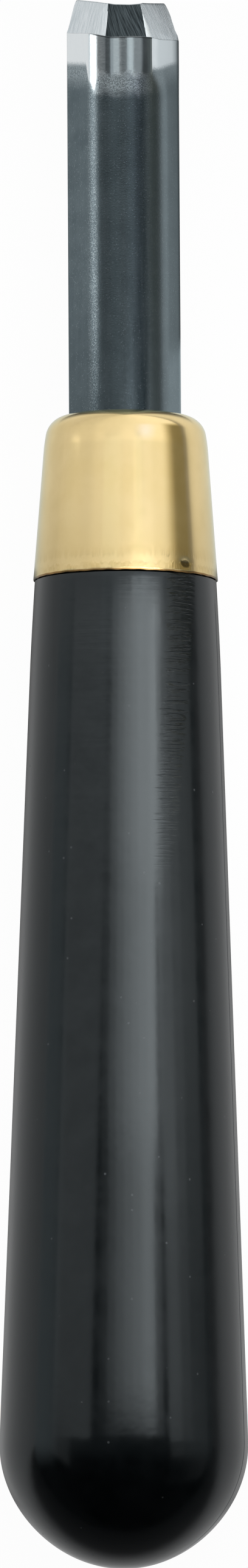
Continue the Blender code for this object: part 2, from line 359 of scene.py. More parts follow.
def surface(name, points, maps, material, crease):
    """A mesh of quads over a grid of points, with its doubles merged, so that seams, poles and edges close.

    maps gives each UV map as a pair of arrays over the same grid.
    Edges that turn by more than crease stay sharp.
    """
    rows, columns = points.shape[:2]
    index = np.arange(rows * columns).reshape(rows, columns)
    corners = [index[:-1, :-1], index[:-1, 1:], index[1:, 1:], index[1:, :-1]]
    quads = np.stack(corners, axis=-1).reshape(-1, 4)
    mesh = bpy.data.meshes.new(name)
    mesh.from_pydata(points.reshape(-1, 3), [], quads)
    for key, (across, along) in maps.items():
        pairs = np.stack(np.broadcast_arrays(across, along), axis=-1).reshape(-1, 2)
        layer = mesh.uv_layers.new(name=key)
        layer.data.foreach_set("uv", pairs[quads.ravel()].ravel().astype(np.float32))
    bm = bmesh.new()
    bm.from_mesh(mesh)
    bmesh.ops.remove_doubles(bm, verts=bm.verts, dist=2e-7)
    bmesh.ops.dissolve_degenerate(bm, edges=bm.edges, dist=1e-8)
    bmesh.ops.recalc_face_normals(bm, faces=bm.faces)
    bm.to_mesh(mesh)
    bm.free()
    mesh.shade_smooth()
    mesh.set_sharp_from_angle(angle=crease)
    mesh.materials.append(material)
    piece = bpy.data.objects.new(name, mesh)
    bpy.context.scene.collection.objects.link(piece)
    return piece


def arc(centre_r, centre_z, radius, start, end, count):
    """Radius and height along a circular arc, as two arrays."""
    turn = np.linspace(start, end, count)
    return centre_r + radius * np.cos(turn), centre_z + radius * np.sin(turn)


def line(start, end, count):
    """Radius and height along a straight line, without its ends."""
    share = np.linspace(0, 1, count + 2)[1:-1]
    return start[0] + (end[0] - start[0]) * share, start[1] + (end[1] - start[1]) * share


def joined(*stretches):
    """Stretches of an outline one after the other, as two arrays."""
    return np.concatenate([s[0] for s in stretches]), np.concatenate([s[1] for s in stretches])


def ferrule_line(depth, limit, start_z, count):
    """The cap's outline at a depth under its face, from a height on its side to a radius on its shoulder.

    It runs up the tapered side, over a wide arc that eases it in and over the shoulder's arc.
    """
    radius = SHOULDER_RADIUS - depth
    turn = ferrule_taper + SHOULDER_EASE
    end = math.acos((limit - shoulder_r) / radius)
    shoulder = arc(shoulder_r, shoulder_z, radius, turn, end, count)
    set_back = SHOULDER_EASE_RADIUS - SHOULDER_RADIUS
    ease_r = shoulder_r - set_back * math.cos(turn)
    ease_z = shoulder_z - set_back * math.sin(turn)
    ease = arc(ease_r, ease_z, SHOULDER_EASE_RADIUS - depth, ferrule_taper, turn, count // 2)
    spread = (ease[1][0] - start_z) * math.tan(ferrule_taper)
    foot = (np.array([ease[0][0] + spread]), np.array([start_z]))
    side = line((foot[0][0], start_z), (ease[0][0], ease[1][0]), count + 8)
    return joined(foot, side, (ease[0][:-1], ease[1][:-1]), shoulder)


def handle_piece(material):
    """The handle: its outline turned about the axis, and raised along the parting line by a bell curve.

    Outline: quarter arc of the bulb, straight cone, rounded edge, seat, neck inside the ferrule and plug.
    """
    seat_z = HANDLE_LENGTH + SEAT_RISE - GRIP_EASE
    lean_in = (seat_z - BULB_RADIUS) * math.sin(grip_taper)
    seat_r = (BULB_RADIUS - GRIP_EASE - lean_in) / math.cos(grip_taper)
    slim = 1 - BULB_SLIM * np.sin(2 * np.linspace(-math.pi / 2, grip_taper, 90)) ** 2
    bulb = arc(0.0, BULB_RADIUS, BULB_RADIUS * slim, -math.pi / 2, grip_taper, 90)
    edge = arc(seat_r, seat_z, GRIP_EASE, grip_taper, math.pi / 2, 10)
    cone = line((bulb[0][-1], bulb[1][-1]), (edge[0][0], edge[1][0]), 160)
    necked = np.clip(1 - (seat_z - cone[1]) / GRIP_NECK_REACH, 0, 1) ** GRIP_NECK_POWER
    cone = (cone[0] - GRIP_NECK * necked, cone[1])
    edge = (edge[0] - GRIP_NECK, edge[1])
    plug_r = mouth_radius - FIT_GAP
    neck = ferrule_line(FERRULE_WALL + FIT_GAP, plug_r, HANDLE_LENGTH + SEAT_RISE, 6)
    plug_z = mouth_z - LIP_DROP - PLUG_SINK
    plug = (np.array([plug_r, plug_r * 0.5, 0.0]), np.array([plug_z, plug_z, plug_z]))
    radius, z = joined(bulb, cone, edge, neck, plug)
    radius[0] = 0.0
    even = np.linspace(-math.pi, math.pi, 225)
    near = np.linspace(-SEAM_REACH, SEAM_REACH, 13)
    turn = np.unique(np.concatenate([even, SEAM_ANGLE + near, SEAM_ANGLE - math.pi + near]))
    radius = radius[:, None]
    z = z[:, None]
    off = np.abs((turn - SEAM_ANGLE + math.pi / 2) % math.pi - math.pi / 2) * radius
    under_seat = np.clip((HANDLE_LENGTH - SEAM_FADE - z) / SEAM_FADE, 0, 1)
    body = under_seat * np.clip(radius / SEAM_BUTT, 0, 1)
    raised = radius + SEAM_HEIGHT * body * np.exp(-((off / SEAM_WIDTH) ** 2))
    points = lay(raised * np.sin(turn), raised * np.cos(turn), z + 0 * turn)
    maps = {"skin": (turn * BULB_RADIUS * 1000 + 0 * z, z * 1000 + 0 * turn)}
    return surface("handle_moulding", points, maps, material, TURNED_CREASE)


def ferrule_piece(material):
    """The ferrule: the outline of its wall turned about the axis, dented by a bell curve, its foot wavy.

    Outline: foot with a rounded edge, tapered side, shoulder, mouth and the inner face back to the foot.
    """
    low_z = foot_z + FOOT_ROUND
    outer = ferrule_line(0.0, mouth_radius, low_z, 60)
    inner = ferrule_line(FERRULE_WALL, mouth_radius, low_z, 8)
    inner = (inner[0][::-1], inner[1][::-1])
    edge = arc(outer[0][0] - FOOT_ROUND, low_z, FOOT_ROUND, -math.pi / 2, 0.0, 8)
    start = (inner[0][-1:], inner[1][-1:])
    radius, z = joined(start, edge, outer, inner)
    even = np.linspace(-math.pi, math.pi, 241)
    near = np.linspace(-DENT_REACH, DENT_REACH, 25)
    turn = np.unique(np.concatenate([even, DENT_TURN + near]))
    radius = radius[:, None]
    z = z[:, None]
    off_around = (turn - DENT_TURN) * collar_radius / DENT_WIDTH
    off_along = (z - foot_z - DENT_RISE) / DENT_HEIGHT
    radius = radius - DENT_DEPTH * np.exp(-(off_around**2 + off_along**2))
    wander = (np.sin(7 * turn + 1) + np.sin(16 * turn) + np.sin(37 * turn + 2)) / 3
    points = lay(
        radius * np.sin(turn),
        radius * np.cos(turn),
        z + FOOT_WAVE * (wander + 0.7) * np.clip((band_z - z) / (band_z - low_z), 0, 1),
    )
    maps = {"skin": (turn * collar_radius * 1000 + 0 * z, (z - foot_z) * 1000 + 0 * turn)}
    return surface("ferrule_cap", points, maps, material, TURNED_CREASE)


def of_side(along, pair):
    """The left or the right value of a pair, by the sign of a place on the blade's face."""
    return np.where(along < 0, pair[0], pair[1])


class Channel:
    """Outer face of the pressed strip: on each side a crown arc, a bend arc and a flat flank.

    It takes the crown's end angle, the bend's radius, the flank's slope and the turn left over as a crease,
    each for the left and the right.
    """

    def __init__(self, crowns, bends, flanks, creases):
        ends = flanks - creases
        starts = CROWN_RADIUS * np.sin(crowns) + bends * (np.sin(ends) - np.sin(crowns))
        self.bends = bends
        self.bend_turns = ends
        self.flanks = flanks
        self.crown_ends = CROWN_RADIUS * crowns
        self.bend_ends = self.crown_ends + bends * (ends - crowns)
        self.rim_ends = self.bend_ends + (BLADE_WIDTH / 2 - starts) / np.cos(flanks) + RIM_EXTRA

    def face(self, along):
        """Place, height and facing direction at a signed distance from the crown along the face."""
        side = np.sign(along)
        reach = np.abs(along)
        bend = of_side(along, self.bends)
        flank = of_side(along, self.flanks)
        crown_end = of_side(along, self.crown_ends)
        bend_end = of_side(along, self.bend_ends)
        crown_turn = np.minimum(reach, crown_end) / CROWN_RADIUS
        bend_turn = crown_turn + np.clip(reach - crown_end, 0, bend_end - crown_end) / bend
        on_flank = np.maximum(reach - bend_end, 0)
        x = (
            CROWN_RADIUS * np.sin(crown_turn)
            + bend * (np.sin(bend_turn) - np.sin(crown_turn))
            + on_flank * np.cos(flank)
        )
        height = (
            crown_height
            - CROWN_RADIUS * (1 - np.cos(crown_turn))
            - bend * (np.cos(crown_turn) - np.cos(bend_turn))
            - on_flank * np.sin(flank)
        )
        settled = np.clip(on_flank / CREASE_REACH, 0, 1)
        left_over = flank - of_side(along, self.bend_turns)
        return side * x, height, side * (bend_turn + left_over * settled)


pressed = Channel(PRESSED_CROWNS, PRESSED_BENDS, PRESSED_FLANKS, 0 * PRESSED_FLANKS)
crisp = Channel(CRISP_CROWNS, CRISP_BENDS, CRISP_FLANKS, CRISP_CREASES)


def wing_share(along):
    """How far out a place lies, from 0 on the crown to 1 at the rim."""
    return np.clip((np.abs(along) - WING_ROOT) / (of_side(along, crisp.rim_ends) - WING_ROOT), 0, 1)


def bevel_start(along):
    """Where up the axis the bevel begins: it leads on both flanks."""
    return of_side(along, BEVEL_LEAD) * wing_share(along)


def tip_flats(x, height, turn):
    """Each of the tip's three flats: its depth at the bevel's foot and how fast that grows up the axis."""
    depths = []
    rates = []
    for side, along in ((-1, -crisp.bend_ends[0]), (0, 0.0), (1, crisp.bend_ends[1])):
        along = np.array(along)
        corner_x, corner_height, _ = crisp.face(along)
        sweep = math.asin(bevel_slope * of_side(along, BEVEL_LEAD / (crisp.rim_ends - WING_ROOT)))
        facing = side * (FLANK_ANGLE - sweep)
        lean = np.maximum(np.cos(facing - turn), LEAST_LEAN)
        out = (x - corner_x) * math.sin(facing) + (height - corner_height) * math.cos(facing)
        depths.append((out - bevel_slope * bevel_start(along)) / lean)
        rates.append(bevel_slope / lean)
    return np.array(depths), np.array(rates)


def rim_line(which, side):
    """Places and depths round one rim: a quarter arc off the outer face and one on to the inner face."""
    quarter = np.linspace(0, math.pi / 2, 9)
    share = (1 - np.cos(quarter)) * RIM_ROUND[which] / BLADE_THICKNESS
    back = (1 - np.sin(quarter)) * RIM_REACH[which]
    places = side * (crisp.rim_ends[which] - np.concatenate([back, back[::-1]]))
    return places, np.concatenate([share, 1 - share[::-1]])


def blade_section():
    """Places round the blade's section, and their depths from 0 on the outer face to 1 on the inner one.

    It runs over the outer face, round the right rim, back along the inner face and round the left rim.
    """
    left_crown, right_crown = crisp.crown_ends
    left_bend, right_bend = crisp.bend_ends
    left_half, right_half = crisp.rim_ends
    stretches = (
        (-left_half, -left_bend, 30),
        (-left_bend, -left_crown, 60),
        (-left_crown, right_crown, 40),
        (right_crown, right_bend, 30),
        (right_bend, right_half, 30),
    )
    face = np.unique(np.round(np.concatenate([np.linspace(*stretch) for stretch in stretches]), 9))
    face = face[(face > -left_half + RIM_REACH[0]) & (face < right_half - RIM_REACH[1])]
    right_rim, right_share = rim_line(1, 1)
    left_rim, left_share = rim_line(0, -1)
    along = np.concatenate([face, right_rim, face[::-1], left_rim[::-1], face[:1]])
    share = np.concatenate([0 * face, right_share, 0 * face + 1, left_share[::-1], 0 * face[:1]])
    return along, share


def blade_piece(material):
    """The blade: its section carried up the axis, each point ground back where the flats of the tip cut it.

    Under the bevel the stations spread from the tang to the bevel's start, above it to the cutting edge.
    The section changes smoothly from the pressed one to the crisp one a little under the bevel.
    The cut is as deep as the deepest flat, or as one rolled over the bends where the flats miss them.
    """
    along, share = blade_section()
    x, height, turn = crisp.face(along)
    rim = of_side(along, crisp.rim_ends)
    corner = np.clip(1 - (rim - np.abs(along)) / WING_ROUND, 0, 1)
    root = of_side(along, EDGE_ROOTS)
    sweep = np.clip((np.abs(along) - root) / (rim - root), 0, 1) ** EDGE_SWEEP
    edge = BEVEL_LENGTH + BEVEL_EXTRA + WING_LEAD * sweep - WING_ROUND * (1 - np.sqrt(1 - corner**2))
    waves = np.sin(along / BEVEL_WAVES[0]) + np.sin(along / BEVEL_WAVES[1] + 2)
    start = bevel_start(along) + BEVEL_RIPPLE * waves
    base, rate = tip_flats(x, height, turn)
    thickness = np.maximum((base + rate * edge).max(axis=0), BLADE_THICKNESS * LEAST_WALL)
    depth = share * thickness
    inner = np.maximum(share, 1 - share) * thickness
    edge = np.minimum(edge, ((inner - base) / rate).min(axis=0))
    shank = np.linspace(0, 1, 100)[:, None] ** SHANK_SPACING
    ground = np.linspace(0, 1, 41)[1:, None]
    honed = np.maximum(ground - HONE_START, 0) * HONE_STEEPNESS
    shank_z = tang_z + (bevel_z + start - tang_z) * shank
    ground_z = bevel_z + start + (edge - start) * (ground - honed)
    z = np.concatenate([shank_z, ground_z])
    flats = base[:, None] + rate[:, None] * (start + (edge - start) * ground)
    rolled = BLADE_THICKNESS * ground * (1 - ROLL_EASE * ground)
    cut = np.maximum(flats.max(axis=0), rolled)
    flat = flats.argmax(axis=0) - 1.0
    cut = np.where(ground > 0.999, inner, np.clip(cut, 0, inner * 0.999))
    cut = np.concatenate([0 * shank + 0 * start, cut])
    flat = np.concatenate([0 * shank + 0 * start, flat])
    sunk = np.maximum(depth, cut)
    spread = of_side(along, pressed.rim_ends / crisp.rim_ends)
    soft_x, soft_height, soft_turn = pressed.face(along * spread)
    flattened = np.clip((z - bevel_z + CRISP_REACH[0]) / (CRISP_REACH[0] - CRISP_REACH[1]), 0, 1)
    flattened = flattened**2 * (3 - 2 * flattened)
    x = soft_x + (x - soft_x) * flattened
    height = soft_height + (height - soft_height) * flattened
    turn = soft_turn + (turn - soft_turn) * flattened
    by_rim = np.clip(1 - (rim - np.abs(along)) / of_side(along, RIM_REACH), 0, 1)
    trim = of_side(along, RIM_EXTRA) * by_rim * np.clip(cut / of_side(along, RIM_ROUND), 0, 1)
    x = x - np.sign(along) * trim * np.cos(turn)
    height = height + trim * np.sin(np.abs(turn))
    x = x - sunk * np.sin(turn)
    height = height - sunk * np.cos(turn)
    turned_x = x * math.cos(BLADE_ROLL) + height * math.sin(BLADE_ROLL)
    turned_height = height * math.cos(BLADE_ROLL) - x * math.sin(BLADE_ROLL)
    lean = -(z - mouth_z) * math.tan(BLADE_LEAN)
    points = lay(turned_x + lean, turned_height, z)
    on_bevel = ((cut >= depth) & (cut > 0)).astype(float)
    maps = {
        "skin": (along * 1000 + 0 * z, (z - bevel_z - start) * 1000),
        "grind": ((bevel_z + edge - z) * 1000, on_bevel),
        "flat": (flat, share + 0 * z),
    }
    end = np.broadcast_to(points[0].mean(axis=0), points[:1].shape)
    points = np.concatenate([end, points])
    maps = {key: tuple(np.concatenate([m[:1], m]) for m in pair) for key, pair in maps.items()}
    return surface("blade_channel", points, maps, material, BLADE_CREASE)


class Nodes:
    """Short calls for the shader nodes that the finishes use."""

    def __init__(self, tree):
        self.tree = tree

    def add(self, kind, inputs=None, **settings):
        """A new node. Each input is a value, or a socket that is linked to it."""
        made = self.tree.nodes.new(kind if kind.startswith("Node") else "ShaderNode" + kind)
        for key, value in settings.items():
            setattr(made, key, value)
        for key, value in (inputs or {}).items():
            if isinstance(value, bpy.types.NodeSocket):
                self.tree.links.new(value, made.inputs[key])
            else:
                made.inputs[key].default_value = value
        return made

    def math(self, operation, *values):
        """One of Blender's operations on values."""
        return self.add("Math", dict(enumerate(values)), operation=operation).outputs[0]

    def times(self, first, *others):
        """The product of two values or more."""
        for value in others:
            first = self.math("MULTIPLY", first, value)
        return first

    def length(self, first, second):
        """The length of a flat vector with these two parts."""
        return self.math("SQRT", self.math("MULTIPLY_ADD", first, first, self.times(second, second)))

    def step(self, value, low, high):
        """0 at low and 1 at high, smooth between them."""
        ends = {"Value": value, "From Min": low, "From Max": high}
        return self.add("MapRange", ends, interpolation_type="SMOOTHSTEP").outputs[0]

    def between(self, value, rise, fall):
        """1 from a rise to a fall, each smooth from its first place to its second."""
        return self.times(self.step(value, *rise), self.step(value, *fall))

    def strip(self, value, middle, half):
        """1 about middle, fading to 0 at half the width of the strip."""
        off = self.math("ABSOLUTE", self.math("SUBTRACT", value, middle))
        return self.step(off, half, half * 0.5)

    def span(self, value, low, high):
        """A share of 0 to 1 spread over low to high."""
        return self.add("MapRange", {"Value": value, "To Min": low, "To Max": high}).outputs[0]

    def mix(self, share, first, second):
        """The first colour at a share of 0, the second at 1."""
        return self.add("Mix", {0: share, 6: first, 7: second}, data_type="RGBA").outputs[2]

    def blend(self, share, first, second):
        """The first value at a share of 0, the second at 1."""
        return self.add("Mix", {0: share, 2: first, 3: second}).outputs[0]

    def noise(self, vector, scale, detail=2.0, roughness=0.5):
        """Blender's noise, which lies about 0.5."""
        ends = {"Vector": vector, "Scale": scale, "Detail": detail, "Roughness": roughness}
        return self.add("TexNoise", ends).outputs[0]

    def map(self, name):
        """The two values of one of the piece's UV maps, and the pair as a vector."""
        pair = self.add("UVMap", uv_map=name).outputs[0]
        parts = self.add("SeparateXYZ", {0: pair})
        return parts.outputs[0], parts.outputs[1], pair

    def millimetres(self):
        """The place on the piece in millimetres."""
        place = self.add("TexCoord").outputs["Object"]
        return self.add("VectorMath", {0: place, "Scale": 1000.0}, operation="SCALE").outputs[0]

    def group(self, made, **inputs):
        """The value that a shared node group gives."""
        return self.add("Group", inputs, node_tree=made).outputs[0]


def shared(name, sockets, build):
    """A shader node group with one value out, which build makes from its Nodes and its inputs by name."""
    tree = bpy.data.node_groups.new(name, "ShaderNodeTree")
    for key, kind in sockets.items():
        tree.interface.new_socket(key, in_out="INPUT", socket_type="NodeSocket" + kind)
    tree.interface.new_socket("value", in_out="OUTPUT", socket_type="NodeSocketFloat")
    nodes = Nodes(tree)
    taken = nodes.add("NodeGroupInput")
    given = nodes.add("NodeGroupOutput")
    tree.links.new(build(nodes, {key: taken.outputs[key] for key in sockets}), given.inputs[0])
    return tree


def build_mottle(nodes, taken):
    """Soft cloudy patches with finer ones in them."""
    return nodes.step(nodes.noise(taken["place"], taken["scale"], 4.0, 0.6), 0.3, 0.7)


def build_specks(nodes, taken):
    """Small round dots in a few of the cells of a Voronoi pattern."""
    cells = nodes.add("TexVoronoi", {"Vector": taken["place"], "Scale": taken["scale"]})
    chance = nodes.add("SeparateColor", {0: cells.outputs["Color"]}).outputs[0]
    picked = nodes.math("LESS_THAN", chance, taken["share"])
    return nodes.times(nodes.step(cells.outputs["Distance"], 0.42, 0.2), picked)


def build_strokes(nodes, taken):
    """Fine parallel lines in the plane of the first two coordinates, leaning by turn from the second."""
    ends = {"Vector": taken["place"], "Angle": taken["turn"]}
    turned = nodes.add("VectorRotate", ends, rotation_type="Z_AXIS")
    parts = nodes.add("SeparateXYZ", {0: turned.outputs[0]})
    slow = nodes.times(parts.outputs[1], taken["slowness"])
    drawn = nodes.add("CombineXYZ", {0: parts.outputs[0], 1: slow}).outputs[0]
    return nodes.step(nodes.noise(drawn, taken["scale"], 3.0, 0.65), 0.32, 0.68)


mottle = shared("mottle", {"place": "Vector", "scale": "Float"}, build_mottle)
specks = shared("specks", {"place": "Vector", "scale": "Float", "share": "Float"}, build_specks)
strokes = shared(
    "strokes", {"place": "Vector", "turn": "Float", "slowness": "Float", "scale": "Float"}, build_strokes
)


def finish(name, metallic):
    """A new material, its Nodes and its Principled shader."""
    made = bpy.data.materials.new(name)
    made.use_nodes = True
    shader = made.node_tree.nodes["Principled BSDF"]
    shader.inputs["Metallic"].default_value = metallic
    shader.inputs["Specular Tint"].default_value = COOL_SHEEN
    return made, Nodes(made.node_tree), shader


def dress(nodes, shader, colour, roughness, height, distance):
    """Join a colour, a roughness and a bump to the shader. distance is the height of the bump in metres."""
    bump = nodes.add("Bump", {"Height": height, "Distance": distance, "Strength": 1.0})
    nodes.tree.links.new(colour, shader.inputs["Base Color"])
    nodes.tree.links.new(roughness, shader.inputs["Roughness"])
    nodes.tree.links.new(bump.outputs[0], shader.inputs["Normal"])


def black_moulding():
    """Glossy black plastic: a little cloudy, with pale specks, faint rings left by the mould and dimples.

    A band of fine ripples, frayed at its left, lies at the right near the ferrule.
    """
    made, nodes, shader = finish("black_moulding", 0.0)
    place = nodes.millimetres()
    around, along, skin = nodes.map("skin")
    cloud = nodes.group(mottle, place=place, scale=0.35)
    dust = nodes.group(specks, place=place, scale=3.2, share=0.006)
    rings = nodes.group(strokes, place=skin, turn=math.pi / 2, slowness=0.04, scale=2.2)
    rings = nodes.times(rings, nodes.step(along, *RINGS_ALONG))
    flattened = nodes.add("CombineXYZ", {0: nodes.times(around, 0.05), 1: along}).outputs[0]
    ripples = nodes.step(nodes.noise(flattened, 4.6, 2.0), 0.46, 0.62)
    from_top = nodes.math("SUBTRACT", HANDLE_LENGTH * 1000, along)
    frayed = nodes.math("MULTIPLY_ADD", nodes.noise(flattened, 2.3, 1.0), 2.4, around)
    left_side = nodes.step(nodes.math("MULTIPLY_ADD", from_top, 0.09, frayed), *RIPPLES_LEFT)
    right_side = nodes.step(nodes.math("MULTIPLY_ADD", from_top, 0.15, around), *RIPPLES_RIGHT)
    band = nodes.times(left_side, right_side)
    rippled = nodes.times(ripples, band, nodes.step(along, *RIPPLES_ALONG))
    dimples = nodes.noise(place, 1.3, 1.0)
    colour = nodes.mix(cloud, PLASTIC_DARK, PLASTIC_PALE)
    colour = nodes.mix(nodes.times(dust, 0.3), colour, PLASTIC_SPECK)
    roughness = nodes.math("ADD", nodes.span(cloud, 0.14, 0.19), nodes.times(dust, 0.2))
    height = nodes.math("MULTIPLY_ADD", rings, 0.25, dimples)
    height = nodes.math("MULTIPLY_ADD", rippled, -7.0, height)
    dress(nodes, shader, colour, roughness, height, 0.000004)
    return made


def satin_brass():
    """Drawn brass with a satin face: warm clouds and fine grain, with painted shade darker to the foot and
    brown at both edges.

    Above the foot it has crimping marks under a dull band, and dirt in the dent.
    """
    made, nodes, shader = finish("satin_brass", 1.0)
    place = nodes.millimetres()
    around, along, skin = nodes.map("skin")
    cloud = nodes.group(mottle, place=place, scale=0.3)
    grain = nodes.noise(place, 6.0, 2.0, 0.6)
    streaks = nodes.group(strokes, place=skin, turn=0.0, slowness=0.12, scale=3.4)
    patches = nodes.step(nodes.noise(place, 1.1, 2.0), 0.4, 0.6)
    ragged = nodes.math("MULTIPLY_ADD", streaks, 0.35, nodes.math("MULTIPLY_ADD", cloud, 0.3, along))
    dull = nodes.times(nodes.between(ragged, *DULL_BAND), 0.4)
    crimp = nodes.times(nodes.step(ragged, *CRIMP_TOP), nodes.step(along, *CRIMP_BOTTOM))
    crimp = nodes.times(crimp, nodes.span(patches, 0.35, 1.0))
    marked = nodes.times(nodes.math("MAXIMUM", dull, crimp), nodes.span(streaks, 0.25, 1.0))
    # Painted shade: brown at the edges of the lip and the foot
    top = FERRULE_HEIGHT * 1000
    lip = nodes.step(along, top - LIP_EDGE_SHADE_ALONG[0], top - LIP_EDGE_SHADE_ALONG[1])
    foot = nodes.step(along, *FOOT_EDGE_SHADE_ALONG)
    brown = nodes.math("MAXIMUM", nodes.times(foot, 0.85), nodes.times(lip, 0.4))
    off_around = nodes.math("SUBTRACT", around, DENT_TURN * collar_radius * 1000)
    off_along = nodes.times(nodes.math("SUBTRACT", along, DENT_RISE * 1000), 1.7)
    off = nodes.length(off_around, off_along)
    dirt = nodes.math("MULTIPLY_ADD", nodes.math("SUBTRACT", patches, 0.5), 0.3, off)
    dirt = nodes.step(dirt, *DIRT_EDGE)
    colour = nodes.mix(cloud, BRASS_DARK, BRASS_PALE)
    # Painted shade: darker towards the foot
    colour = nodes.mix(nodes.times(nodes.step(along, *FOOT_SHADE_ALONG), 0.5), colour, BRASS_FOOT_SHADE)
    colour = nodes.mix(nodes.times(marked, 0.55), colour, BRASS_MARK)
    colour = nodes.mix(brown, colour, BRASS_EDGE_SHADE)
    colour = nodes.mix(nodes.times(dirt, 0.8), colour, BRASS_DIRT)
    roughness = nodes.math("ADD", nodes.span(cloud, 0.135, 0.16), nodes.times(grain, 0.02))
    height = nodes.math("MULTIPLY_ADD", grain, 0.1, nodes.times(marked, 2.0))
    dress(nodes, shader, colour, roughness, height, 0.000003)
    return made


def polished_colour_and_reflections(nodes, across, cloud):
    """Polished steel with painted reflections: pale and dark strips on the crown, pale at the left and
    darker to the right rim.
    """
    colour = nodes.mix(cloud, BRIGHT_DARK, BRIGHT_PALE)
    # Painted reflections: pale and dark strips across the crown
    for strips, shade in ((LIGHT_REFLECTION_STRIPS, BRIGHT_LIGHT_REFLECTION), (DARK_REFLECTION_STRIPS, BRIGHT_DARK_REFLECTION)):
        left, right = (nodes.strip(across, *place) for place in strips)
        colour = nodes.mix(nodes.math("MAXIMUM", left, right), colour, shade)
    # Painted reflections: lighter at the left, darker to the right and at the right rim
    colour = nodes.mix(nodes.step(across, -1.8, -2.3), colour, BRIGHT_LEFT_LIT)
    colour = nodes.mix(nodes.step(across, 2.6, 3.4), colour, BRIGHT_RIGHT_SHADED)
    return nodes.mix(nodes.step(across, 5.2, 6.0), colour, BRIGHT_RIM_SHADED)


def ground_colour_and_reflections(nodes, flat, cuts):
    """The bevel's three flats, from -1 at the left to 1 at the right, each streaked by its strokes, with
    painted reflections.
    """
    # Painted reflections: the middle flat dark, the outer ones light
    left, middle, right = (nodes.mix(cuts, *shades) for shades in (LEFT_CUT_LIT, MIDDLE_CUT_SHADED, RIGHT_CUT_LIT))
    outer = nodes.mix(nodes.step(flat, -0.5, 0.5), left, right)
    return nodes.mix(nodes.step(nodes.math("ABSOLUTE", flat), 0.35, 0.65), middle, outer)


